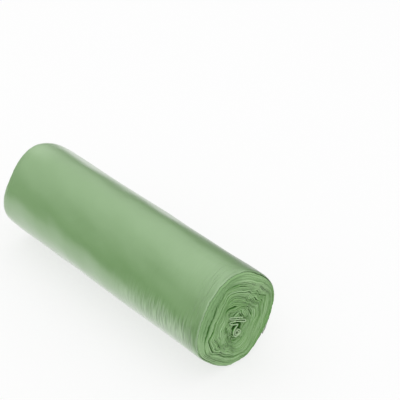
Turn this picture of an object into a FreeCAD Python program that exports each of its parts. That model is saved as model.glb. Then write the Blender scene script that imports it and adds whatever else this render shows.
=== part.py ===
import FreeCAD, Part
import math
import os

# Roll of bin bags, wound without a core. Millimetres, +Z up.
# The roll lies along X on the flat that its own weight has pressed into it.
# Angles are seen from the +X end, counted from +Y towards +Z. The film winds
# outwards clockwise in that view: over the top and down the +Y side.

# Driving sizes of the whole roll
roll_length = 229.0        # the width of a gusseted sack, 457 mm, folded once
roll_radius = 37.2         # mean radius from the middle of the winding
upright_bulge = 1.2        # how far two opposite sides stand out
squared_bulge = 1.3        # how far four sides stand out, one of them at the lean
lean_angle = 97.0          # where the tallest side points
flat_depth = 0.9           # how much of the round the table has pressed flat
rim_depth = 4.5            # how far the outermost turns slip back at both rims
rim_width = 8.0            # over how much of the radius they do

# The middle, where the empty core has closed to a slit
core_width = 3.6
core_height = 14.0
core_lean = 100.0          # direction of the slit's long side
core_shift_y = 0.4         # middle of the slit, from the middle of the roll
core_shift_z = -7.5

# The turns, as they stand open at both ends
turn_count = 8
gap_width = 0.55           # open gap between two turns
gap_depth = 14.0           # how deep the gap goes in, from each end
core_overlap = 0.05        # share of the way out by which the gap starts inside the slit

# The free edge of the last bag
tail_angle = -46.0
tail_thickness = 0.9
tail_lift = 0.2            # how high the gap runs out under the free edge
tail_run = 4.0             # degrees that the gap runs on past the free edge

# Fineness of the curves
outline_arcs = 12
gap_arcs_per_turn = 8


def round_radius(angle):
    """Radius of the wound body, without the free edge's step, at an angle in degrees."""
    from_lean = math.radians(angle - lean_angle)
    return (
        roll_radius
        + upright_bulge * math.cos(2 * from_lean)
        + squared_bulge * math.cos(4 * from_lean)
    )


def polar(radius, angle):
    """Point of the section plane, as (y, z) from the middle of the roll."""
    turned = math.radians(angle)
    return radius * math.cos(turned), radius * math.sin(turned)


def slit_point(angle):
    """Point on the closed core's wall that faces an angle."""
    lean, facing = math.radians(core_lean), math.radians(angle - core_lean)
    along = core_height / 2 * math.cos(facing)
    across = core_width / 2 * math.sin(facing)
    return (
        core_shift_y + along * math.cos(lean) - across * math.sin(lean),
        core_shift_z + along * math.sin(lean) + across * math.cos(lean),
    )


def wound_point(share, angle):
    """Point of the winding: share 0 lies on the core's wall and share 1 on the outside."""
    inner, outer = slit_point(angle), polar(round_radius(angle), angle)
    return tuple(a + share * (b - a) for a, b in zip(inner, outer))


def vectors(points, x):
    return [FreeCAD.Vector(x, y, z) for y, z in points]


def straight_edge(start, end, x):
    return Part.LineSegment(*vectors([start, end], x)).toShape()


def arc_edges(points, x):
    """A chain of arcs, each through three points that follow each other."""
    v = vectors(points, x)
    return [Part.Arc(*v[i:i + 3]).toShape() for i in range(0, len(v) - 2, 2)]


def prism(edges, length):
    """Solid over a closed outline, along +X."""
    return Part.Face(Part.Wire(edges)).extrude(FreeCAD.Vector(length, 0, 0))


def snail_prism():
    """The wound body: one turn of outline that ends in the free edge's step."""
    points = []
    for i in range(2 * outline_arcs + 1):
        share = i / (2 * outline_arcs)
        angle = tail_angle + 360 * (1 - share)
        points.append(polar(round_radius(angle) + tail_thickness * share, angle))
    x = -roll_length / 2
    return prism(arc_edges(points, x) + [straight_edge(points[-1], points[0], x)], roll_length)


def rounded_envelope():
    """Solid of revolution round the roll, which rounds both rims."""
    reach = roll_radius + upright_bulge + squared_bulge + 2 * tail_thickness
    end, flat = roll_length / 2, reach - rim_width
    across = FreeCAD.Vector(end - rim_depth / 4, 0, reach - rim_width / 3)

    def at(x, radius):
        return FreeCAD.Vector(x, 0, radius)

    def mirrored(point):
        return FreeCAD.Vector(-point.x, 0, point.z)

    axis, edge, side = at(end, 0), at(end, flat), at(end - rim_depth, reach)
    profile = Part.Wire([
        Part.LineSegment(mirrored(axis), axis).toShape(),
        Part.LineSegment(axis, edge).toShape(),
        Part.Arc(edge, across, side).toShape(),
        Part.LineSegment(side, mirrored(side)).toShape(),
        Part.Arc(mirrored(side), mirrored(across), mirrored(edge)).toShape(),
        Part.LineSegment(mirrored(edge), mirrored(axis)).toShape(),
    ])
    return Part.Face(profile).revolve(FreeCAD.Vector(0, 0, 0), FreeCAD.Vector(1, 0, 0), 360)


def gap_sides():
    """Both sides of the spiral gap, from inside the slit to just past the free edge."""
    start = core_lean - 180 + 360 * turn_count
    steps = 2 * turn_count * gap_arcs_per_turn
    outside = []
    for i in range(steps + 1):
        share = i / steps
        angle = start + share * (tail_angle - tail_run - start)
        y, z = wound_point(share * (1 + core_overlap) - core_overlap, angle)
        lift_y, lift_z = polar(tail_lift * share, angle)
        outside.append((y + lift_y, z + lift_z))
    inside = []
    for i, (y, z) in enumerate(outside):
        before, after = outside[max(i - 1, 0)], outside[min(i + 1, steps)]
        run_y, run_z = after[0] - before[0], after[1] - before[1]
        inwards = gap_width / math.hypot(run_y, run_z)
        inside.append((y + run_z * inwards, z - run_y * inwards))
    return inside, outside


def gap_prism(x):
    """The open gap between the turns, over the depth that it has at one end."""
    inside, outside = gap_sides()
    edges = arc_edges(inside, x)
    edges.append(straight_edge(inside[-1], outside[-1], x))
    edges += arc_edges(outside, x)[::-1]
    edges.append(straight_edge(outside[0], inside[0], x))
    return prism(edges, gap_depth + 1.0)


def core_prism():
    """The closed core: a narrow slit with two bowed walls, right through the roll."""
    tips_and_sides = [slit_point(core_lean + facing) for facing in (0, 90, 180, 270, 360)]
    return prism(arc_edges(tips_and_sides, -roll_length), 2 * roll_length)


def table_space():
    """The space above the table, which presses the flat."""
    lowest = min(polar(round_radius(angle), angle)[1] for angle in range(180, 361))
    corner = FreeCAD.Vector(-roll_length, -2 * roll_radius, lowest + flat_depth)
    return Part.makeBox(2 * roll_length, 4 * roll_radius, 4 * roll_radius, corner)


def bag_roll():
    body = snail_prism().common(rounded_envelope()).common(table_space())
    body = body.cut(core_prism())
    for x in (roll_length / 2 - gap_depth, -roll_length / 2 - 1.0):
        body = body.cut(gap_prism(x))
    roll = body.Solids[0]
    box = roll.optimalBoundingBox(False)
    to_origin = FreeCAD.Vector(-box.Center.x, -box.Center.y, -box.ZMin)
    return roll.translated(to_origin)


roll = bag_roll()
box = roll.optimalBoundingBox(False)
print("bag roll", round(box.XLength, 2), round(box.YLength, 2), round(box.ZLength, 2))
os.makedirs("parts", exist_ok=True)
roll.exportStep("parts/bag_roll.step")
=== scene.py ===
# %% [markdown]
# # A roll of bin bags
# Bin bags are made from a thin plastic tube that is pressed flat, welded and
# perforated across, folded lengthwise and wound up on itself. This roll has no
# card core, so its middle has fallen shut. What the eye reads is a smooth satin
# wrap, two ends where the edges of the turns show, and one loose corner.
# A cylinder with rings drawn on its ends would be quicker, but from close by it
# would look printed. So the notebook makes the roll as the factory does: a strip
# first, and then the winding, as a rule that says where each point of it goes.

# %% Load the measured part
import math

import bmesh
import bpy
import numpy as np
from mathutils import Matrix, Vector


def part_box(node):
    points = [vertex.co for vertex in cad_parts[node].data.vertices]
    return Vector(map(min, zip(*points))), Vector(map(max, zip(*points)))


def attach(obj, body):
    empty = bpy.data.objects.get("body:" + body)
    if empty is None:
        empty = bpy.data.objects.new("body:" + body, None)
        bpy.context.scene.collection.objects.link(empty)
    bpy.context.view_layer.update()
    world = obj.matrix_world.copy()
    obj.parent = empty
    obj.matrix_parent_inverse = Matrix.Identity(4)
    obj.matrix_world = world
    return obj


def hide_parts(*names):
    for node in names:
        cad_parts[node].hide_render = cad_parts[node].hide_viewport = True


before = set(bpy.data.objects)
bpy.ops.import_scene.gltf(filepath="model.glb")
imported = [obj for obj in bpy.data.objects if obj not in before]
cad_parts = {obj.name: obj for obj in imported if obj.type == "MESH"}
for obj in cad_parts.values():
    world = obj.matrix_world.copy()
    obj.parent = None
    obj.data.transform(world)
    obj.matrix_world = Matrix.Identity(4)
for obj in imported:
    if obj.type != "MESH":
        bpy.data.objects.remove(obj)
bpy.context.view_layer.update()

low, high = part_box("bag_roll")
print("part measures", [round(1000 * size, 1) for size in high - low], "mm")

# %% [markdown]
# ## The section
# Cut across, the roll isn't a circle. It has been squeezed in a box, so four
# sides stand out a little and four lie flat, and the table presses a narrow flat
# below. The outline could be drawn point by point. A cosine wave on the radius
# says the same in one line, and the turns inside can follow it too. Angles are
# seen from the +X end, counted from +Y towards +Z.

# %% Sizes of the section
MM = 0.001
HALF_LENGTH = (high.x - low.x) / 2
MEAN_RADIUS = 37.2 * MM
UPRIGHT_BULGE = 1.2 * MM
SQUARED_BULGE = 1.3 * MM
LEAN = math.radians(97)


def round_radius(angle):
    """Radius of the wound body at an angle."""
    return (
        MEAN_RADIUS
        + UPRIGHT_BULGE * np.cos(2 * (angle - LEAN))
        + SQUARED_BULGE * np.cos(4 * (angle - LEAN))
    )


print("radius where it leans", round(float(round_radius(LEAN)) / MM, 1), "mm")

# %% Middle of the winding
FLAT_DEPTH = 0.9 * MM
TAIL_ANGLE = math.radians(-46)
TAIL_THICKNESS = 0.9 * MM

once_round = TAIL_ANGLE + np.linspace(0, 2 * math.pi, 721)
grown = round_radius(once_round) + TAIL_THICKNESS * np.linspace(1, 0, 721)
across = grown * np.cos(once_round)
MIDDLE_Y = -(across.min() + across.max()) / 2
MIDDLE_Z = -(round_radius(once_round) * np.sin(once_round)).min() - FLAT_DEPTH
print("middle of the winding", round(MIDDLE_Y / MM, 2), round(MIDDLE_Z / MM, 2), "mm")


# %% [markdown]
# ## The winding
# Every point of the film has a place along the strip, counted in turns from the
# middle, and that place gives an angle and a share of the way out. Share 0 is the
# wall of the closed core, a narrow slit, and share 1 is the outside. Counting in
# turns keeps one number for everything that happens along the strip, so a crevice
# or a colour can be put on one turn by its number.

# %% Turns, angles and shares
TURNS = 41
FIRST_SHARE = 0.03
TURN_SHARE = (1 - FIRST_SHARE) / (TURNS - 0.5)


def angle_of(turns):
    return TAIL_ANGLE + 2 * math.pi * (TURNS - turns)


def share_of(turns):
    return 1 - TURN_SHARE / 2 + (turns - TURNS + 1) * TURN_SHARE


print("one turn is", round(TURN_SHARE * MEAN_RADIUS / MM, 2), "mm thick")

# %% [markdown]
# ## From the slit to the outside
# Turns near the slit are long and narrow like it, and turns near the outside
# follow the section. A plain spiral can't do that, because its turns are all
# alike. So each point is found on the straight line from the slit's wall to the
# section, and its share says how far along.

# %% The slit
CORE_HALF_WIDTH = 1.8 * MM
CORE_HALF_HEIGHT = 6.0 * MM
CORE_LEAN = math.radians(100)
CORE_Y = 0.4 * MM
CORE_Z = -7.5 * MM


def slit_point(angle):
    """Point on the wall of the closed core that faces an angle."""
    along = CORE_HALF_HEIGHT * np.cos(angle - CORE_LEAN)
    aside = CORE_HALF_WIDTH * np.sin(angle - CORE_LEAN)
    return (
        CORE_Y + along * math.cos(CORE_LEAN) - aside * math.sin(CORE_LEAN),
        CORE_Z + along * math.sin(CORE_LEAN) + aside * math.cos(CORE_LEAN),
    )


print("slit is", round(2 * CORE_HALF_WIDTH / MM, 1), "by", round(2 * CORE_HALF_HEIGHT / MM, 1), "mm")

# %% [markdown]
# ## Angular turns
# The squeeze has creased the turns halfway out, so they run in four straight
# stretches with blunt corners between them. Two cosine waves, of four and eight
# periods, bend a smooth turn that way. They fade towards the slit and towards the
# outside, where the film lies round.

# %% From the slit to the section, with corners halfway
ANGULAR = 9.0 * MM    # the fading leaves at most 0.15 of it
ANGULAR_LEAN = math.radians(108)
CORNER_SHARPNESS = 0.2


def blended(share, angle):
    """Place in the section, from the middle of the winding, before any crumpling."""
    floor = MIDDLE_Z / np.maximum(-np.sin(angle), 0.01)
    radius = np.minimum(round_radius(angle), floor)
    slit_y, slit_z = slit_point(angle)
    turned = 4 * (angle - ANGULAR_LEAN)
    corners = np.cos(turned) + CORNER_SHARPNESS * np.cos(2 * turned)
    bend = ANGULAR * np.clip(share, 0, 1) ** 2 * np.clip(1 - share, 0, 1) * corners
    y = slit_y + share * (radius * np.cos(angle) - slit_y) + bend * np.cos(angle)
    z = slit_z + share * (radius * np.sin(angle) - slit_z) + bend * np.sin(angle)
    return y, z


print("top of the section", round((MIDDLE_Z + float(blended(1.0, LEAN)[1])) / MM, 1), "mm")

# %% [markdown]
# ## Unevenness
# Wound film is never even. It could be pushed about by hand, or by a noise
# texture in a Displace modifier. Here all of it comes from one helper, a sum of
# six waves that run in different directions. It is smooth, it never repeats over
# the roll, it is the same each time the notebook runs, and the winding rule can
# ask for it anywhere.

# %% A field of waves
def ripple(first, second, wavelength, seed):
    """Uneven field over two coordinates, smooth, mostly between -1 and 1."""
    total = 0.0
    for k in range(6):
        heading = 2.4 * k + 1.7 * seed
        rate = 2 * math.pi / wavelength * (0.6 + 0.22 * k)
        run = first * math.cos(heading) + second * math.sin(heading)
        total = total + np.sin(rate * run + 4.1 * k * seed + seed)
    return total / 2.6


sample = ripple(np.arange(1000.0), 0.0, 17.0, 1.0)
print("between -1 and 1 at", round(100 * float((np.abs(sample) < 1).mean())), "% of the places")


# %% A soft step, and a rule that differs from end to end
def smooth(value, start, stop):
    """0 before start, 1 after stop and a soft slope between them."""
    t = np.clip((value - start) / (stop - start), 0, 1)
    return t * t * (3 - 2 * t)


def by_end(rule, end, *place):
    """What a rule says at each point, with the near end's numbers or the far end's."""
    return np.where(end > 0, rule(*place, 1), rule(*place, -1))


print("halfway up a soft step", float(smooth(0.5, 0.0, 1.0)))

# %% [markdown]
# ## Crevices
# Here and there a whole group of turns has parted from the next, and these gaps
# are the darkest lines of the end. Each crevice has a place: the turn outside it,
# the two angles in degrees between which it gapes, and its width in millimetres.
# The turns on both sides move apart, and those further off move less.

# %% Crevices of the near end and of the far end
CREVICES = {
    1: [
        (32, 100, 193, 2.0),
        (36, 115, 186, 0.7),
        (30, 60, 122, 0.7),
        (27, -5, 62, 0.4),
        (23, 0, 50, 0.4),
        (20, 195, 226, 0.9),
        (24, 192, 222, 0.6),
        (28, 96, 178, 0.5),
        (14, 88, 128, 1.2),
        (10, 75, 140, 0.9),
        (17, 240, 300, 0.5),
        (38, -46, 0, 0.6),
        (12, -30, 60, 0.8),
        (6, 20, 150, 0.9),
    ],
    -1: [
        (34, 20, 120, 1.0),
        (30, 150, 280, 1.0),
        (25, -10, 80, 0.8),
        (20, 90, 210, 0.9),
        (14, 210, 310, 0.8),
        (37, 200, 290, 0.6),
    ],
}
print("crevices", [len(crevices) for crevices in CREVICES.values()])

# %% How far a crevice moves a turn
CREVICE_FADE = 30     # degrees over which a long crevice opens and closes
CREVICE_REACH = 4     # turns over which its neighbours give way


def crevice_shift(turns, angle, end):
    """How far a turn is moved outwards by the crevices of an end, as a share."""
    degrees = np.degrees(angle - TAIL_ANGLE) % 360 + math.degrees(TAIL_ANGLE)
    shift = 0.0
    for outer_turn, first, last, width in CREVICES[end]:
        fade = min(CREVICE_FADE, (last - first) / 3)
        gaping = smooth(degrees, first, first + fade) * (1 - smooth(degrees, last - fade, last))
        away = np.floor(turns) - outer_turn + 0.5
        nearness = np.exp(-np.abs(away) / CREVICE_REACH)
        shift = shift + gaping * np.sign(away) * nearness * width * MM / 2
    return shift / MEAN_RADIUS


widest = float(crevice_shift(32.5, math.radians(146), 1)) * MEAN_RADIUS
print("the long crevice moves its outer turn by", round(widest / MM, 2), "mm")

# %% [markdown]
# ## Room for the film
# Real film can't pass through film. Where a crevice pushes turns together, each
# turn gets thinner by what its nearer neighbour takes from it. A cloth simulation
# would find this by itself, but it would take minutes and is hard to steer. This
# rule is only a good guess: some edges still cut into their neighbours.

# %% How thick a turn may be
THINNEST = 0.25


def room_left(turns, angle, end):
    """Share of a turn's own thickness that its nearer neighbour leaves it."""
    inside, here, outside = [crevice_shift(turns + step, angle, end) for step in (-1, 0, 1)]
    return np.clip(1 + np.minimum(outside - here, here - inside) / TURN_SHARE, THINNEST, 1)


print("room next to the long crevice", round(float(room_left(33.5, math.radians(146), 1)), 2))

# %% [markdown]
# ## Air between the turns
# Some air is wound in with the film, more of it near the middle, and now and then
# a turn has sprung free of the next. The gap is what makes the ends read as turns:
# without it the edges would merge into one flat face. The last turn clings to the
# roll, and its free edge thins out to a single sheet.

# %% Share of each turn that is air
TIGHT_AIR = 0.09
MIDDLE_AIR = 0.20
MIDDLE_SHARES = (0.15, 0.60)
UNEVEN_AIR = 0.12
SPRUNG_AIR = 0.30
AIR_WAVE = 2.4        # turns
AIR_LIMITS = (0.05, 0.65)
LAST_TURNS = 1.2      # these cling to the roll
WRAP_AIR = 0.1
TAIL_AIR = 0.70
TAIL_THINS = 0.08     # turns


def air(turns, angle):
    """How much of a turn's room is air."""
    looseness = TIGHT_AIR + MIDDLE_AIR * (1 - smooth(share_of(turns), *MIDDLE_SHARES))
    uneven = ripple(turns, 1.3 * angle * share_of(turns), AIR_WAVE, 6.2)
    sprung = SPRUNG_AIR * smooth(uneven, 0.35, 1.0)
    wound = np.clip(looseness + UNEVEN_AIR * uneven + sprung, *AIR_LIMITS)
    wrap = WRAP_AIR + TAIL_AIR * smooth(turns, TURNS - TAIL_THINS, TURNS)
    return np.where(turns > TURNS - LAST_TURNS, wrap, wound)


print("air at the free edge", round(float(air(TURNS, angle_of(TURNS))), 2))

# %% [markdown]
# ## Where the edges end
# The edges don't lie in one plane. The outermost turns have slipped back, groups
# of turns stand a little proud or a little back, single turns do so too, the
# film's edge itself is crinkled, and the middle has sunk. Each of these is one
# line with its own height and wavelength. A single noise over the whole end would
# look like clay instead.

# %% Depth of each edge
RIM_DEPTH = 1.6 * MM
RIM_SHARE = 0.20
MEAN_BACK = 0.8       # heights of this cell are in millimetres
GROUPS, GROUP_WAVE = 0.24, 4.4
SINGLES, SINGLE_WAVE = 0.36, 1.7
CRINKLES, CRINKLE_WAVE = 0.16, 5.0
SUNKEN, SUNKEN_SHARES = 1.2, (0.05, 0.42)


def edge_recess(turns, angle, end):
    """How far a turn's edge lies back from the plane of its end."""
    share = share_of(turns)
    rim = np.clip((share - 1 + RIM_SHARE) / RIM_SHARE, 0, 1)
    slipped = RIM_DEPTH * (1 - np.sqrt(1 - 0.98 * rim ** 2))
    girth = 1.2 * angle * share
    groups = GROUPS * ripple(turns, girth, GROUP_WAVE, 1.3 + end)
    singles = SINGLES * ripple(turns, girth, SINGLE_WAVE, 2.9 + end)
    along = angle * share * MEAN_RADIUS / MM
    crinkles = CRINKLES * ripple(along, turns * 2.3, CRINKLE_WAVE, 4.7 + end)
    sunken = SUNKEN * (1 - smooth(share, *SUNKEN_SHARES))
    return slipped + MM * (MEAN_BACK + groups + singles + crinkles + sunken)


recesses = [float(edge_recess(turn, angle_of(turn), 1)) / MM for turn in (2.0, 20.0, 40.0)]
print("edges lie back by", [round(recess, 1) for recess in recesses], "mm")

# %% [markdown]
# ## The pressed rim
# The rims are pressed inwards, on the near end more at the upper front than
# elsewhere. A bevel would round all of a rim alike. Here the rim's turns move
# inwards along a quarter of an ellipse, by an amount that depends on the angle.

# %% Shares near the rim
PRESSED_REACH = 6.0 * MM
PRESSED_SHARE = 0.075
PRESSED_SHARES = (0.72, 1.02)
PRESSED_MORE = {1: (0.060, 135), -1: (0.0, 0)}    # how much more, and towards which angle


def pressed(share, angle, from_end, end):
    """Share of a turn after the rim was pressed inwards."""
    more, side = PRESSED_MORE[end]
    reach = PRESSED_SHARE + more * np.cos(angle - math.radians(side))
    t = np.clip(1 - from_end / PRESSED_REACH, 0, 1)
    return share - reach * (1 - np.sqrt(1 - 0.96 * t ** 2)) * smooth(share, *PRESSED_SHARES)


moved = 1 - float(pressed(1.0, math.radians(135), 0.0, 1))
print("rim pressed in by", round(moved * MEAN_RADIUS / MM, 1), "mm at the upper front")

# %% [markdown]
# ## Crumpling and creases
# The film is loose round the fallen core, so it lies there in waves of two sizes:
# long ones where whole groups of turns sway, and short ones where single layers
# are creased. The short ones also show at two places further out.

# %% How much a place is creased
CRUMPLE, CRUMPLE_WAVE = 2.4 * MM, 17.0 * MM
CREASE, CREASE_WAVE = 0.85 * MM, 6.0 * MM
CREASED = {1: [(28, 0.66), (222, 0.52)], -1: [(120, 0.66), (300, 0.58)]}    # angle, share
CREASED_WEIGHT = 0.35
CREASED_ANGLE, CREASED_SHARE = 0.45, 0.15    # how far such a place reaches


def creasing(share, angle, end):
    """How much a place is creased: the middle fully, two places further out in part."""
    amount = np.clip(1 - share, 0, 1) ** 2.4
    for degrees, middle in CREASED[end]:
        aside = (angle - math.radians(degrees) + math.pi) % (2 * math.pi) - math.pi
        away = (aside / CREASED_ANGLE) ** 2 + ((share - middle) / CREASED_SHARE) ** 2
        amount = amount + CREASED_WEIGHT * np.exp(-away)
    return amount


def crumpled(y, z, share, angle, end, fade):
    """The place in the section after both sizes of waves have moved it."""
    swaying = CRUMPLE * fade * np.clip(1 - share, 0, 1) ** 1.3
    creased = CREASE * fade * by_end(creasing, end, share, angle)
    for reach, wave in ((swaying, CRUMPLE_WAVE), (creased, CREASE_WAVE)):
        shove = [
            np.where(end > 0, ripple(y, z, wave, seed), ripple(y, z, wave, seed + 4.7))
            for seed in (0.4, 2.2)
        ]
        y, z = y + reach * shove[0], z + reach * shove[1]
    return y, z


print("creasing in the middle", round(float(creasing(0.0, 0.0, 1)), 2))

# %% [markdown]
# ## Pleats
# At two places on each end all the turns zig-zag together, like a folded fan, as
# film does when it is pushed from outside. The arcsine of a sine is such a
# zig-zag, and it fades out round the place. It could be modelled fold by fold,
# but the turns have to agree, and they do when one rule bends them all. Each
# place has an angle, a share, the length of one fold in degrees and its height in
# millimetres.

# %% Two pleated places on each end
PLEATS = {
    1: [(36, 0.64, 23, 1.3), (204, 0.52, 27, 0.8)],
    -1: [(130, 0.62, 24, 1.2), (300, 0.52, 30, 1.0)],
}
PLEAT_SHARPNESS = 0.97
PLEAT_PEAK = 1.33     # height of the arcsine itself
PLEAT_SHARE = 0.18


def pleated(share, angle, end):
    """How far outwards the pleats move a place."""
    out = 0.0
    for degrees, middle, fold, height in PLEATS[end]:
        aside = (np.degrees(angle) - degrees + 180) % 360 - 180
        folds = np.arcsin(PLEAT_SHARPNESS * np.sin(2 * math.pi * aside / fold)) / PLEAT_PEAK
        away = (aside / (1.1 * fold)) ** 2 + ((share - middle) / PLEAT_SHARE) ** 2
        out = out + height * MM * folds * np.exp(-away)
    return out


peak = float(pleated(0.64, math.radians(36 + 23 / 4), 1))
print("first fold stands out by", round(peak / MM, 2), "mm")

# %% [markdown]
# ## The outside and the loose corner
# The outer face swells and sinks slowly along the roll. At the near end the free
# edge's corner has come loose and stands off the roll, so it shows as a small
# flap below the rim. Two soft steps multiplied, one along the strip and one along
# the roll, lift a corner and nothing else.

# %% Swells and the lifted corner
SWELL, SWELL_WAVE = 0.20 * MM, 55 * MM
CORNER_LIFT = 1.9 * MM
CORNER_TURN = 0.10
CORNER_REACH = 15.0 * MM


def raised(turns, angle, share, x):
    """How far outwards the outer face has moved."""
    swell = SWELL * ripple(x, 1.6 * angle * MEAN_RADIUS, SWELL_WAVE, 3.3)
    last_of_turn = smooth(turns, TURNS - CORNER_TURN, TURNS)
    last_of_length = smooth(x, HALF_LENGTH - CORNER_REACH, HALF_LENGTH)
    return swell * np.clip(share, 0, 1) ** 8 + CORNER_LIFT * (last_of_turn * last_of_length)


lifted = float(raised(TURNS, TAIL_ANGLE, 1.0, HALF_LENGTH))
print("the corner stands off by", round(lifted / MM, 2), "mm, with the swell there")

# %% [markdown]
# ## From the strip to the roll
# One function takes a place on the strip and gives the point in space. It applies
# the rules above in order: crevices, air, the pressed rim, the blend from slit to
# section, crumpling, pleats and the raised outside. Last, the table stops
# whatever would go below it. What was done to an end fades out further in, where
# the turns press on each other and lie even.

# %% The winding rule
FADE_DEPTH = 60.0 * MM


def wound_point(turns, end, depth, thickness):
    """Point of the film: turns along it, depth in from its edge at an end, and
    thickness from -0.5 on its inner face to 0.5 on its outer face."""
    angle = angle_of(turns)
    fade = np.clip(1 - depth / FADE_DEPTH, 0, 1)
    from_end = depth + by_end(edge_recess, end, turns, angle) * fade
    x = end * (HALF_LENGTH - from_end)
    parted = by_end(crevice_shift, end, turns, angle)
    room = by_end(room_left, end, turns, angle)
    film = (1 - air(turns, angle)) * (1 - fade + room * fade)
    share = share_of(turns) + parted * fade + thickness * film * TURN_SHARE
    share = by_end(pressed, end, share, angle, from_end)
    y, z = crumpled(*blended(share, angle), share, angle, end, fade)
    out = raised(turns, angle, share, x) + fade * by_end(pleated, end, share, angle)
    y, z = y + out * np.cos(angle), z + out * np.sin(angle)
    return x, MIDDLE_Y + y, np.maximum(MIDDLE_Z + z, 0)


middle_of_wrap = wound_point(TURNS - 0.5, 1, HALF_LENGTH, 0.5)
print("a point of the wrap", [round(float(value) / MM, 1) for value in middle_of_wrap], "mm")


# %% [markdown]
# ## A strip of film
# The real strip is a tube pressed flat, and so is this one. It starts as a flat
# grid: one direction is the length of the strip and the other goes once round the
# flattened tube. The winding rule carries the grid's points to their places, the
# seam of the tube is welded and both its ends are closed. Points along the strip
# are about evenly spaced in millimetres, so the inner turns have fewer of them.
# A curve with a bevel would make such a strip as well, but its profile could only
# grow and shrink along the way, and this one's edge and thickness have rules.

# %% A finished mesh as a piece
def as_piece(name, bm):
    """An object of the scene from a bmesh, with its faces pointing outwards."""
    bmesh.ops.recalc_face_normals(bm, faces=bm.faces)
    mesh = bpy.data.meshes.new(name)
    bm.to_mesh(mesh)
    bm.free()
    piece = bpy.data.objects.new(name, mesh)
    bpy.context.scene.collection.objects.link(piece)
    triangles = sum(len(face.vertices) - 2 for face in mesh.polygons)
    print(name, "has", triangles, "triangles")
    return piece


# %% Where the strip's points lie
STATION_SPREAD = 5.0    # turns; the more, the more points go to the inner turns


def strip_stations(first_turn, last_turn, stations):
    """Turns of the points along a strip, closer together further out."""
    first, last = (first_turn + STATION_SPREAD) ** 2, (last_turn + STATION_SPREAD) ** 2
    return np.sqrt(np.linspace(first, last, stations + 1)) - STATION_SPREAD


spaced = strip_stations(0.0, TURNS, 100)
print("inner and outer steps", round(spaced[1], 2), round(spaced[-1] - spaced[-2], 2), "turns")


# %% Wind a flattened tube
def wound_tube(name, turns, ring, rule=wound_point):
    """A closed piece of film. The ring lists (end, depth, thickness) once round."""
    ring = np.array(ring + ring[:1], float)
    stations, rows = len(turns) - 1, len(ring) - 1
    bm = bmesh.new()
    bmesh.ops.create_grid(bm, x_segments=stations, y_segments=rows, size=0.5)
    flat = np.array([vert.co[:2] for vert in bm.verts]) + 0.5
    turns = turns[np.rint(flat[:, 0] * stations).astype(int)]
    end, depth, thickness = ring[np.rint(flat[:, 1] * rows).astype(int)].T
    places = np.stack(rule(turns, end, depth, thickness), axis=1)
    turn_layer = bm.verts.layers.float.new("turn")
    inward_layer = bm.verts.layers.float.new("inward")
    for vert, place, turn, inward in zip(bm.verts, places, turns, depth / MM):
        vert.co = place
        vert[turn_layer] = turn
        vert[inward_layer] = inward
    bmesh.ops.remove_doubles(bm, verts=bm.verts, dist=1e-7)
    bmesh.ops.holes_fill(bm, edges=[edge for edge in bm.edges if edge.is_boundary])
    for face in bm.faces:
        face.smooth = True
    return as_piece(name, bm)


# %% [markdown]
# ## The turns at both ends
# The winding only shows at its ends, so the turns are made there, a dozen
# millimetres deep. One modelled turn stands for about ten turns of real film,
# which cling together and can't be told apart. Its edge is rounded, so it
# catches the light as a pale line beside the dark gap. Most rows of points lie
# near the edge, where the rim bends.

# %% Once round the edge of a turn
EDGE_ROUND = 0.45 * MM
ROUNDING = [(0.3 * EDGE_ROUND, 0.34), (EDGE_ROUND, 0.5)]
TURN_DEPTH = 12.0 * MM
TURN_ROWS = (1.4 * MM, 3.4 * MM, 6.2 * MM, TURN_DEPTH)


def edge_ring(end, half):
    """Once round a flattened tube, from the half of it on its outer face."""
    front = [(end, depth, thickness) for depth, thickness in reversed(half)]
    back = [(end, depth, -thickness) for depth, thickness in half]
    return front + [(end, 0.0, 0.0)] + back


turn_half = ROUNDING + [(depth, 0.5) for depth in TURN_ROWS]
print("points once round a turn's edge", len(edge_ring(1, turn_half)))

# %% Both ends of the winding
wound_turns = strip_stations(0.0, TURNS - 1.0, 7000)
near_turns = wound_tube("near_turns", wound_turns, edge_ring(1, turn_half))
far_turns = wound_tube("far_turns", wound_turns, edge_ring(-1, turn_half))


# %% [markdown]
# ## The start of the strip
# The winding began as a small coil. Its film then doubled back as a tongue, which
# lies folded to and fro three times across the mouth of the slit and stands a
# little proud of the sunken middle. Both ends show it, since it is the same film.
# Its line is a spiral that runs on into a smooth curve through a few points, and
# the points are few because the curve does the bending.

# %% A smooth curve through points
def through(knots, steps=12):
    """Points of a smooth curve from the second knot to the last but one."""
    points = []
    for before, start, stop, after in zip(knots, knots[1:], knots[2:], knots[3:]):
        for t in np.linspace(0, 1, steps, endpoint=False):
            pull = (2 * before - 5 * start + 4 * stop - after) * t ** 2
            turn_back = (3 * start - before - 3 * stop + after) * t ** 3
            points.append((2 * start + (stop - before) * t + pull + turn_back) / 2)
    return np.array(points)


corner_points = np.array([(0, 0), (0, 0), (1, 0), (1, 1), (1, 1)], float)
print("a point between the first two knots", through(corner_points)[6].round(2))

# %% Line of the coil and the tongue
COIL_Y = 0.3 * MM
COIL_Z = -10.8 * MM
COIL_TURNS = 1.8
COIL_INNER = 0.8 * MM
COIL_OUTER = 3.3 * MM
COIL_WIDER = 1.1
TONGUE = [    # y and z in millimetres, from the middle of the winding
    (-3.6, -7.8), (-2.2, -5.8), (0.4, -4.4), (0.6, -3.3), (-2.8, -2.0), (-6.2, 0.2),
    (-6.4, 1.4), (-2.4, 0.4), (2.6, -1.9), (7.4, -4.4), (7.8, -3.2), (3.0, -0.4),
    (-2.4, 2.0), (-6.6, 4.6), (-6.8, 5.9), (-2.0, 3.6), (3.2, 1.2), (8.6, -1.6),
]


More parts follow.
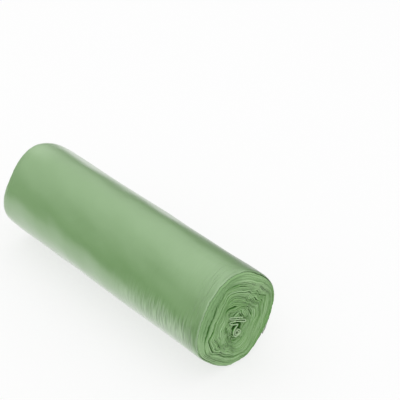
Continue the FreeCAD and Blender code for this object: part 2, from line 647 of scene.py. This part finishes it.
def core_line():
    """Closely spaced points along the coil and the tongue."""
    way = np.linspace(0, 1, 120)
    angle = math.pi * (1 + 2 * COIL_TURNS * (1 - way))
    radius = COIL_INNER + (COIL_OUTER - COIL_INNER) * way
    across, upwards = COIL_WIDER * radius * np.cos(angle), radius * np.sin(angle)
    coil = np.stack([COIL_Y + across, COIL_Z + upwards], axis=1)
    tongue = np.array(TONGUE) * MM
    knots = np.concatenate([coil[-12:-10], coil[-1:], tongue, tongue[-1:]])
    return np.concatenate([coil[:-11], through(knots)])


CORE_LINE = core_line()
CORE_RUN = np.linspace(0, 1, len(CORE_LINE))
steps = np.diff(CORE_LINE, axis=0)
print("coil and tongue are", round(float(np.hypot(*steps.T).sum()) / MM), "mm long")

# %% The rule for the coil and the tongue
CORE_FILM = 0.42 * MM
CORE_PROUD = 0.4 * MM
CORE_UNEVEN = 0.35 * MM
TONGUE_SHALLOWER = 0.6
TONGUE_STARTS = (0.30, 0.36)
NEXT_TO = 0.002       # how far apart two points are that show the line's direction


def core_point(way, end, depth, thickness):
    """Point of the coil and tongue, the way along it from 0 to 1."""
    def at(place):
        return [np.interp(place, CORE_RUN, CORE_LINE[:, k]) for k in (0, 1)]

    here, ahead, behind = at(way), at(way + NEXT_TO), at(way - NEXT_TO)
    run_y, run_z = ahead[0] - behind[0], ahead[1] - behind[1]
    length = np.hypot(run_y, run_z)
    uneven = CORE_UNEVEN * ripple(way * 40, end, 9.0, 1.9)
    shallow = 1 - TONGUE_SHALLOWER * smooth(way, *TONGUE_STARTS)
    x = end * (HALF_LENGTH - CORE_PROUD - uneven - depth * shallow)
    y = here[0] + thickness * CORE_FILM * run_z / length
    z = here[1] - thickness * CORE_FILM * run_y / length
    return x, MIDDLE_Y + y, MIDDLE_Z + z


start_of_coil = core_point(0.02, 1, 0.0, 0.0)
print("the coil starts at", [round(float(value) / MM, 1) for value in start_of_coil], "mm")

# %% Coil and tongue
CORE_DEPTH = 5.0 * MM

core_half = [(0.1 * CORE_FILM, 0.3), (0.4 * CORE_FILM, 0.5), (CORE_DEPTH, 0.5)]
core_way = strip_stations(0.02, 0.98, 600)
near_core = wound_tube("near_core", core_way, edge_ring(1, core_half), core_point)
far_core = wound_tube("far_core", core_way, edge_ring(-1, core_half), core_point)

# %% [markdown]
# ## The packed middle
# Deeper in, the turns press on each other and leave no gap. That part is one plain
# body behind the open turns, so that no gap can be seen through. It is the section
# drawn as a polygon, extruded, with its rims inside the depth of the open turns.

# %% Packed middle
PACKED_SHARE = 0.955
PACKED_SIDES = 96
PACKED_HALF = HALF_LENGTH - TURN_DEPTH + MM


def packed_middle():
    bm = bmesh.new()
    bmesh.ops.create_circle(bm, cap_ends=True, cap_tris=False, segments=PACKED_SIDES, radius=1.0)
    for vert in bm.verts:
        y, z = blended(PACKED_SHARE, math.atan2(vert.co.y, vert.co.x))
        vert.co = (-PACKED_HALF, MIDDLE_Y + float(y), MIDDLE_Z + float(z))
    sides = bmesh.ops.extrude_face_region(bm, geom=bm.faces[:])
    moved = [item for item in sides["geom"] if isinstance(item, bmesh.types.BMVert)]
    bmesh.ops.translate(bm, verts=moved, vec=(2 * PACKED_HALF, 0, 0))
    return as_piece("packed_middle", bm)


packed = packed_middle()

# %% [markdown]
# ## The outer wrap
# The last turn covers the whole length and ends in the free edge. It follows the
# same rule, over both ends at once: once round its flattened tube goes from the
# near edge along the outside to the far edge, and back along the inside. Its rows
# are closer together near the rims, where it bends most.

# %% Outer wrap
WRAP_TURNS = 1.12
WRAP_STATIONS = 420
WRAP_ROWS = 60
WRAP_BACK = 4 * MM


def wrap_ring():
    """Once round the wrap, from its near edge along the outside and back inside."""
    shares = np.linspace(0, 1, WRAP_ROWS) ** 1.3
    depths = shares * (HALF_LENGTH - EDGE_ROUND) + EDGE_ROUND
    half = [(0.0, 0.0), ROUNDING[0]] + [(depth, 0.5) for depth in depths]
    near = [(1, depth, thickness) for depth, thickness in half]
    far = [(-1, depth, thickness) for depth, thickness in half[-2::-1]]
    inside = [(-1, WRAP_BACK), (-1, TURN_DEPTH), (1, TURN_DEPTH), (1, WRAP_BACK)]
    return near + far + [(end, depth, -0.5) for end, depth in inside]


wrap_turns = strip_stations(TURNS - WRAP_TURNS, TURNS, WRAP_STATIONS)
outer_wrap = wound_tube("outer_wrap", wrap_turns, wrap_ring())

# %% [markdown]
# ## Shader maths
# A finish is a tree of nodes, and sums of masks make long chains of Math nodes. A
# small class wraps a socket, so that a mask is written as an ordinary sum and the
# nodes are added by the way. Colours have a helper of their own, because a Math
# node would turn them grey.

# %% Sockets as values
class Value:
    """A number that changes over the surface: one socket of a node tree."""

    def __init__(self, socket):
        self.tree = socket.id_data
        self.socket = socket

    def node(self, kind, settings=None, **inputs):
        """Another node: its type, its settings first, then its sockets by name or number."""
        made = self.tree.nodes.new(kind)
        for name, setting in (settings or {}).items():
            setattr(made, name, setting)
        for name, value in inputs.items():
            socket = made.inputs[int(name[1:]) if name[1:].isdigit() else name.replace("_", " ")]
            if isinstance(value, Value):
                value.feed(socket)
            else:
                socket.default_value = value
        return made

    def feed(self, socket):
        """Link this value to a socket."""
        self.tree.links.new(self.socket, socket)

    def _math(self, operation, first, second):
        made = self.node("ShaderNodeMath", {"operation": operation}, i0=first, i1=second)
        return Value(made.outputs[0])

    def __add__(self, other):
        return self._math("ADD", self, other)

    def __radd__(self, other):
        return self._math("ADD", other, self)

    def __sub__(self, other):
        return self._math("SUBTRACT", self, other)

    def __rsub__(self, other):
        return self._math("SUBTRACT", other, self)

    def __abs__(self):
        return self._math("ABSOLUTE", self, 0.0)

    def __mul__(self, other):
        return self._math("MULTIPLY", self, other)

    def __rmul__(self, other):
        return self._math("MULTIPLY", other, self)


# %% Masks and mixtures
def mixed(factor, first, second):
    """A colour between two greens."""
    mix = factor.node("ShaderNodeMix", {"data_type": "RGBA"}, i0=factor, i6=first, i7=second)
    return Value(mix.outputs[2])


def ramp(value, start, stop):
    """0 before start, 1 after stop and a soft slope between them."""
    settings = {"interpolation_type": "SMOOTHSTEP"}
    return Value(value.node("ShaderNodeMapRange", settings, i0=value, i1=start, i2=stop).outputs[0])


def band(value, start, full, falling, gone):
    """A soft slope up and, further on, a soft slope down."""
    return ramp(value, start, full) * (1 - ramp(value, falling, gone))


def noise(vector, scale, detail):
    """Clouds over the surface, or over a vector made from its attributes."""
    made = vector.node("ShaderNodeTexNoise", Vector=vector, Scale=scale, Detail=detail)
    return Value(made.outputs["Fac"])


# %% What a pattern can read
def attribute(place, name):
    """One of the numbers that the winding left on the points."""
    made = place.node("ShaderNodeAttribute", {"attribute_name": name})
    return Value(made.outputs["Fac"])


def split(place):
    """The three coordinates of a place."""
    return [Value(socket) for socket in place.node("ShaderNodeSeparateXYZ", Vector=place).outputs]


def turn_at(degrees):
    """Place along the strip where the outer wrap faces an angle."""
    return TURNS - (degrees - math.degrees(TAIL_ANGLE)) / 360


print("the wrap's top is at turn", round(turn_at(90), 2), "and its front at", round(turn_at(180), 2))

# %% [markdown]
# ## The film's finish
# The film is a pastel green polythene, satin rather than glossy. Light goes into
# the stack of layers and comes out more deeply green, while the surface adds a
# pale sheen. Subsurface scattering could do this, at the price of a slow and
# noisy picture. A deep colour under a coat and some sheen looks much the same
# from outside. So the three finishes are one shader with a few numbers of its
# own for each, and a pattern.

# %% A film material
FILM_IOR = 1.5


def film_material(name, finish, pattern):
    """A film finish: numbers for the shader, and a pattern over Object coordinates."""
    material = bpy.data.materials.new(name)
    material.use_nodes = True
    tree = material.node_tree
    shader = tree.nodes["Principled BSDF"]
    for socket, setting in finish.items():
        shader.inputs[socket].default_value = setting
    coordinates = tree.nodes.new("ShaderNodeTexCoord")
    pattern(Value(coordinates.outputs["Object"]), shader)
    print(name, "has", len(tree.nodes), "nodes")
    return material


# %% [markdown]
# ## Wrinkles of the wrap
# The wrap is gathered a little at both rims, so fine wrinkles run round the roll
# there, and the low front of its near half is creased more. They are a fraction
# of a millimetre high, so they are bump and not geometry. The bump is a noise
# stretched along the strip. It reads the turn number instead of the place, so
# that its strokes follow the film round the roll.

# %% Strokes along the strip
STROKE_SLANT = 0.06
STROKE_LENGTH = 0.10
STROKE_SCALE = 860.0


def strokes_over(along, turn):
    """Long thin clouds that run round the roll."""
    girth = turn * (2 * math.pi * MEAN_RADIUS)
    slanted = along + girth * STROKE_SLANT
    stretched = along.node("ShaderNodeCombineXYZ", X=slanted, Y=girth * STROKE_LENGTH)
    return noise(Value(stretched.outputs[0]), STROKE_SCALE, 0.5)


# %% Where the wrap is creased
LOW_FRONT = [turn_at(degrees) for degrees in (242, 216.8, 180.8, 152)]
NEAR_HALF = (0.01, 0.09)
NEAR_RIM = (0.094, 0.108)
FAR_RIM = (0.100, 0.112)
FAINT_EVERYWHERE = 0.04


def creased_front(place, along, turn):
    """The creased low front, in tufts, towards the near end."""
    tufts = ramp(noise(place, 50.0, 1.0), 0.35, 0.60) * 0.7 + 0.5
    return ramp(along, *NEAR_HALF) * (band(turn, *LOW_FRONT) * tufts + FAINT_EVERYWHERE)


def gathered_ends(along):
    """The film is gathered near both rims."""
    return ramp(along, *NEAR_RIM) * 0.5 + ramp(along * -1, *FAR_RIM) * 0.4


print("low front, in turns", [round(turn, 2) for turn in LOW_FRONT])

# %% [markdown]
# ## Greens of the wrap
# The wrap's green drifts a little between two tones. Along the creases of the low
# front, painted shade and painted highlight alternate, the far end's top has a
# painted highlight, and a painted highlight runs round both rims as a pale line,
# stronger on the lit side. The loose corner is a single sheet: the light that
# shines through it is painted into its colour, so it is the palest place of all.
# These are mixed one over the other, from the plain film up.

# %% Colours of the wrap
FILM_GREEN = (0.153, 0.330, 0.092, 1.0)
FILM_PALE = (0.180, 0.370, 0.116, 1.0)
RIM_GREEN = (0.165, 0.350, 0.105, 1.0)
# painted shade of the creases, and a pale green for painted highlights on crease ridges, the far
# end's top and the rims
CREASE_SHADE_GREEN = (0.130, 0.290, 0.080, 1.0)
PAINTED_HIGHLIGHT_GREEN = (0.360, 0.560, 0.290, 1.0)
# painted light: the corner's single sheet, pale with the light that shines through it
CORNER_LIT_THROUGH = (0.720, 0.840, 0.650, 1.0)
# where the far end's top gets a painted highlight
FAR_TOP_HIGHLIGHT = [turn_at(degrees) for degrees in (112.4, 98, 90.8, 69.2)]
FAR_TOP_HIGHLIGHT_ALONG = (0.080, 0.106)
LIT_SIDE = [turn_at(degrees) for degrees in (234.8, 206, 134, 90.8)]
CORNER_TURNS = [turn_at(degrees) for degrees in (-28, -40.6)]
CORNER_ALONG = (0.085, 0.105)


def wrap_greens(place, along, turn, strokes, front, corner):
    """The wrap's colour, from the plain film to the painted highlight along the rims on top of it.
    """
    inward = attribute(place, "inward")
    film = mixed(noise(place, 22.0, 2.0), FILM_GREEN, FILM_PALE)
    film = mixed(1 - ramp(inward, 0.3, 3.5), film, RIM_GREEN)
    # painted shade and painted highlight along the creases, following the same strokes as their bump
    creased = mixed(ramp(strokes, 0.38, 0.62), CREASE_SHADE_GREEN, PAINTED_HIGHLIGHT_GREEN)
    film = mixed(front * 0.75, film, creased)
    # painted highlight on the far end's top
    far_top_highlight = ramp(along * -1, *FAR_TOP_HIGHLIGHT_ALONG) * band(turn, *FAR_TOP_HIGHLIGHT)
    film = mixed(far_top_highlight * 0.4, film, PAINTED_HIGHLIGHT_GREEN)
    # painted through-light on the loose corner
    film = mixed(corner, film, CORNER_LIT_THROUGH)
    # painted highlight: a pale line round both rims, stronger on the lit side
    rim_highlight = (1 - ramp(inward, 0.3, 1.1)) * (band(turn, *LIT_SIDE) * 0.35 + 0.45)
    return mixed(rim_highlight, film, PAINTED_HIGHLIGHT_GREEN)


# %% The wrap's pattern and finish
WRAP_FINISH = {
    "IOR": FILM_IOR,
    "Roughness": 0.36,
    "Specular IOR Level": 1.0,
    "Coat IOR": 1.8,
    "Coat Roughness": 0.3,
    "Sheen Weight": 0.5,
    "Sheen Roughness": 0.3,
}
WRINKLE_HEIGHT = 2.2 * MM


def wrap_pattern(place, shader):
    """Colour, coat and wrinkles of the outer wrap."""
    along, turn = split(place)[0], attribute(place, "turn")
    strokes = strokes_over(along, turn)
    front = creased_front(place, along, turn)
    corner = ramp(turn, *CORNER_TURNS) * ramp(along, *CORNER_ALONG)
    wrap_greens(place, along, turn, strokes, front, corner).feed(shader.inputs["Base Color"])
    (1 - corner).feed(shader.inputs["Coat Weight"])
    dents = noise(place, 75.0, 1.0)
    height = strokes * (front * 0.65 + gathered_ends(along)) + dents * 0.35
    wrinkles = place.node("ShaderNodeBump", Height=height, Strength=1.0, Distance=WRINKLE_HEIGHT)
    Value(wrinkles.outputs[0]).feed(shader.inputs["Normal"])


wrap_film = film_material("wrap_film", WRAP_FINISH, wrap_pattern)

# %% [markdown]
# ## Greens of the edges
# Seen edge on, the film is pale, and down in the gaps it is painted a deep, dark
# green: painted shade, with the deeper green of light that has passed through
# many layers. The turns differ a little: each is painted somewhere between shade
# and light, with a little more shade on the inner turns. At the upper back the inner
# turns, and at the lower front all turns, are paler with painted light, and the
# outer turns carry painted shade at the upper front and the lower back. One noise
# over the whole end couldn't say this, so the masks read the turn number and the
# side of the roll.

# %% Colours of the edges
SHADED_EDGE = (0.255, 0.455, 0.178, 1.0)
EDGE_GREEN = (0.400, 0.600, 0.320, 1.0)
# painted shade at the upper front, painted light at the upper back and lower front, painted shade at
# the lower back
FRONT_SHADE = (0.245, 0.430, 0.185, 1.0)
LIT_EDGE = (0.480, 0.680, 0.385, 1.0)
LOW_SHADE = (0.220, 0.440, 0.145, 1.0)
# painted shade: deep, dark green for the gaps and hollows
GAP_SHADE_GREEN = (0.120, 0.345, 0.070, 1.0)


def turn_shading(turn):
    """How lit each turn is painted, from 0 in shade to 1, a little lower on the inner turns."""
    tone = noise(Value(turn.node("ShaderNodeCombineXYZ", X=turn).outputs[0]), 4.0, 1.0)
    inner = 1 - ramp(turn, 18.0, 32.0)
    return ramp(tone, 0.35, 0.65) * (1 - inner * 0.15)


# %% Sides of the end
UPPER_FRONT, LOWER_BACK = 139.5, -41.4     # degrees
UPPER_BACK, LOWER_FRONT = 53.1, 221.4


def on_side(aside, above, degrees, start, stop):
    """Mask that grows towards an angle, between two distances in millimetres."""
    turned = math.radians(degrees)
    towards = aside * math.cos(turned) + above * math.sin(turned)
    return ramp(towards, start * MM, stop * MM)


def edge_greens(turn, aside, above):
    """Greens of the film's edge: painted shade turn by turn first, then painted light and shade by
    the side of the roll.
    """
    # painted shade: each turn between the shaded and the lit edge green
    edges = mixed(turn_shading(turn), SHADED_EDGE, EDGE_GREEN)
    # painted shade on the outer turns at the upper front
    front_shade = ramp(turn, 28.0, 33.0) * on_side(aside, above, UPPER_FRONT, 10, 26)
    edges = mixed(front_shade, edges, FRONT_SHADE)
    # painted light at the upper back and, weaker, at the lower front
    lit_back = on_side(aside, above, UPPER_BACK, 22, 30) * (1 - ramp(turn, 33.0, 37.0))
    lit_front = on_side(aside, above, LOWER_FRONT, 18, 28) * 0.45
    edges = mixed((lit_back + lit_front) * 0.9, edges, LIT_EDGE)
    # painted shade on the outer turns at the lower back
    low_shade = ramp(turn, 33.0, 36.0) * on_side(aside, above, LOWER_BACK, 23, 32)
    return mixed(low_shade * 0.9, edges, LOW_SHADE)


# %% The edges' pattern and finish
EDGE_FINISH = {"IOR": FILM_IOR, "Roughness": 0.5, "Specular IOR Level": 0.3}
CRINKLE_HEIGHT = 0.2 * MM


def edge_pattern(place, shader):
    """Pale where the film's edge is thin, painted deep green shade down in the gaps."""
    turn, inward = attribute(place, "turn"), attribute(place, "inward")
    _, aside, upwards = split(place)
    edges = edge_greens(turn, aside, upwards - MIDDLE_Z)
    patches = noise(place, 260.0, 2.0)
    bare = ramp(turn, 34.0, 39.5)
    # painted shade, deeper further in from the edge
    gap_shade = ramp(inward + (patches - 0.5) * 0.8 - bare, 0.2, 1.7)
    mixed(gap_shade, edges, GAP_SHADE_GREEN).feed(shader.inputs["Base Color"])
    fine = noise(place, 700.0, 2.0)
    crinkles = place.node("ShaderNodeBump", Height=fine, Strength=0.5, Distance=CRINKLE_HEIGHT)
    Value(crinkles.outputs[0]).feed(shader.inputs["Normal"])


edge_film = film_material("edge_film", EDGE_FINISH, edge_pattern)

# %% [markdown]
# ## Finish of the coil and the tongue
# The start of the strip lies loose and catches more light than the packed edges,
# so its edge is painted paler as a painted highlight, and it is a little glossier.
# It needs no noise, because it is small: its painted pale edge simply turns into
# the painted deep green shade of the hollow behind it.

# %% Coil and tongue finish
# painted highlight: the loose coil and tongue painted paler where they catch more light
CORE_LIT_GREEN = (0.520, 0.700, 0.430, 1.0)
CORE_FINISH = {"IOR": FILM_IOR, "Roughness": 0.3, "Specular IOR Level": 0.8}


def core_pattern(place, shader):
    """Painted highlight at the edge, painted deep green shade further in."""
    gap_shade = ramp(attribute(place, "inward"), 0.4, 3.0)
    mixed(gap_shade, CORE_LIT_GREEN, GAP_SHADE_GREEN).feed(shader.inputs["Base Color"])


core_film = film_material("core_film", CORE_FINISH, core_pattern)

# %% [markdown]
# ## Dressing the part
# Every piece of the scene rides on the part's one body and stands in for its one
# solid. All of them are the same material in the part's terms, film, whatever
# finish they wear here.

# %% Finishes and pieces
dressed = {
    wrap_film: [outer_wrap],
    edge_film: [near_turns, far_turns, packed],
    core_film: [near_core, far_core],
}
for material, pieces in dressed.items():
    for piece in pieces:
        piece.data.materials.append(material)
        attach(piece, "root")
        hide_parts("bag_roll")
print("materials", [material.name for material in bpy.data.materials])

# %% [markdown]
# ## The table
# A wide white table carries the roll. Its own white would render as grey under
# plain light, and more light would wash out the film. So most of what the camera
# sees of it is a white glow, and the rest is the lit table, which keeps a faint
# shadow. In the film's reflections only the patch of table next to the roll is
# bright, as when a light tent's floor ends soon beside the object.

# %% What the rays meet
def ray_kinds(place):
    """Whether a ray comes from the camera, and whether from a mirroring surface."""
    path = place.node("ShaderNodeLightPath")
    return Value(path.outputs["Is Camera Ray"]), Value(path.outputs["Is Glossy Ray"])


# %% Table
TABLE_SIZE = 6.0
TABLE_WHITE = (0.92, 0.92, 0.92, 1.0)
SHADOW_SHARE = 0.28
PATCH_SLANT = 0.65
PATCH = (0.085, 0.185)
PATCH_OUTSIDE = 0.03

bpy.ops.mesh.primitive_plane_add(size=TABLE_SIZE, location=(0, 0, 0))
table = bpy.context.object
table.name = "table"
white = bpy.data.materials.new("white_table")
white.use_nodes = True
ground = white.node_tree
surface = ground.nodes["Principled BSDF"]
surface.inputs["Base Color"].default_value = TABLE_WHITE
surface.inputs["Roughness"].default_value = 0.9
table.data.materials.append(white)
print("table is", TABLE_SIZE, "m wide")

# %% Glow of the table
start = Value(ground.nodes.new("ShaderNodeTexCoord").outputs["Object"])
seen, mirrored = ray_kinds(start)
along, aside, _ = split(start)
close_by = 1 - ramp(abs(aside) + along * PATCH_SLANT, *PATCH)
patch = close_by * (1 - PATCH_OUTSIDE) + PATCH_OUTSIDE
glow = start.node("ShaderNodeEmission", Strength=seen + mirrored * patch)
both = start.node("ShaderNodeMixShader", i0=seen * (1 - SHADOW_SHARE) + mirrored)
ground.links.new(surface.outputs[0], both.inputs[1])
ground.links.new(glow.outputs[0], both.inputs[2])
ground.links.new(both.outputs[0], ground.nodes["Material Output"].inputs["Surface"])
print("the table keeps", SHADOW_SHARE, "of its shadow")

# %% [markdown]
# ## The sky
# The sky is even and bright, so the roll has no hard shadow. The camera sees
# plain white. In the film's reflections it is dark low down and bright above,
# which draws the broad highlight along the roll's upper side.

# %% Sky
SKY = 0.90
TENT = (-0.05, 0.52)
TENT_LOW = 0.035
TENT_RISE = 0.82

world = bpy.data.worlds.new("sky")
bpy.context.scene.world = world
world.use_nodes = True
background = world.node_tree.nodes["Background"]
start = Value(world.node_tree.nodes.new("ShaderNodeTexCoord").outputs["Generated"])
seen, mirrored = ray_kinds(start)
tent = ramp(split(start)[2], *TENT) * TENT_RISE + TENT_LOW
strength = seen + (1 - seen) * (mirrored * tent + (1 - mirrored) * SKY)
strength.feed(background.inputs["Strength"])
background.inputs["Color"].default_value = (1, 1, 1, 1)
print("sky strength", SKY, "on the film, and 1 for the camera")

# %% [markdown]
# ## The lamp
# One large lamp overhead gives the light a direction, so the turns shade each
# other. A sun would draw hard lines, and a square lamp wider than the roll is
# long keeps every shadow soft.

# %% Overhead lamp
LAMP_PLACE = Vector((-0.1, 0.0, 1.3))
LAMP_AIM = Vector((0, 0, 0.04))
LAMP_SIZE = 1.8
LAMP_POWER = 4

lamp_data = bpy.data.lights.new("overhead", "AREA")
lamp_data.size = LAMP_SIZE
lamp_data.energy = LAMP_POWER
lamp = bpy.data.objects.new("overhead", lamp_data)
lamp.location = LAMP_PLACE
lamp.rotation_euler = (LAMP_AIM - LAMP_PLACE).to_track_quat("-Z", "Y").to_euler()
bpy.context.scene.collection.objects.link(lamp)
print("lamp at", [round(value, 2) for value in LAMP_PLACE], "with", LAMP_POWER, "W")

# %% [markdown]
# ## The camera
# The camera stands where the photograph was taken from. Its angles, its distance
# and its focal length come from the roll's perspective: how much smaller the far
# end looks, and how flat the near end's outline is. The roll isn't in the middle
# of the picture, so the camera looks past it by a measured number of pixels.

# %% Where the camera stands
PHOTO_PIXELS = 400
AZIMUTH = math.radians(47.84)
ELEVATION = math.radians(34.0)
FOCAL_PIXELS = 1259.4
VIEW_DEPTH = 25.146 * MEAN_RADIUS
MIDDLE_PIXEL = (131.7, 248.2)    # where the middle of the roll lies in the picture

level = math.cos(ELEVATION)
forward = Vector((-math.sin(AZIMUTH) * level, math.cos(AZIMUTH) * level, -math.sin(ELEVATION)))
right = Vector((math.cos(AZIMUTH), math.sin(AZIMUTH), 0))
up = right.cross(forward)
pixel = VIEW_DEPTH / FOCAL_PIXELS
offset = right * (MIDDLE_PIXEL[0] - PHOTO_PIXELS / 2) + up * (PHOTO_PIXELS / 2 - MIDDLE_PIXEL[1])
eye = Vector((0, MIDDLE_Y, MIDDLE_Z)) - offset * pixel - forward * VIEW_DEPTH
print("camera at", [round(value, 3) for value in eye], "m")

# %% Camera
camera_data = bpy.data.cameras.new("camera")
camera_data.sensor_width = 36
camera_data.lens = FOCAL_PIXELS / PHOTO_PIXELS * camera_data.sensor_width
camera_data.clip_end = 20
camera = bpy.data.objects.new("camera", camera_data)
camera.location = eye
camera.rotation_euler = forward.to_track_quat("-Z", "Y").to_euler()
bpy.context.scene.collection.objects.link(camera)
bpy.context.scene.camera = camera
bpy.context.scene.view_settings.view_transform = "Standard"
print("lens", round(camera_data.lens, 1), "mm")
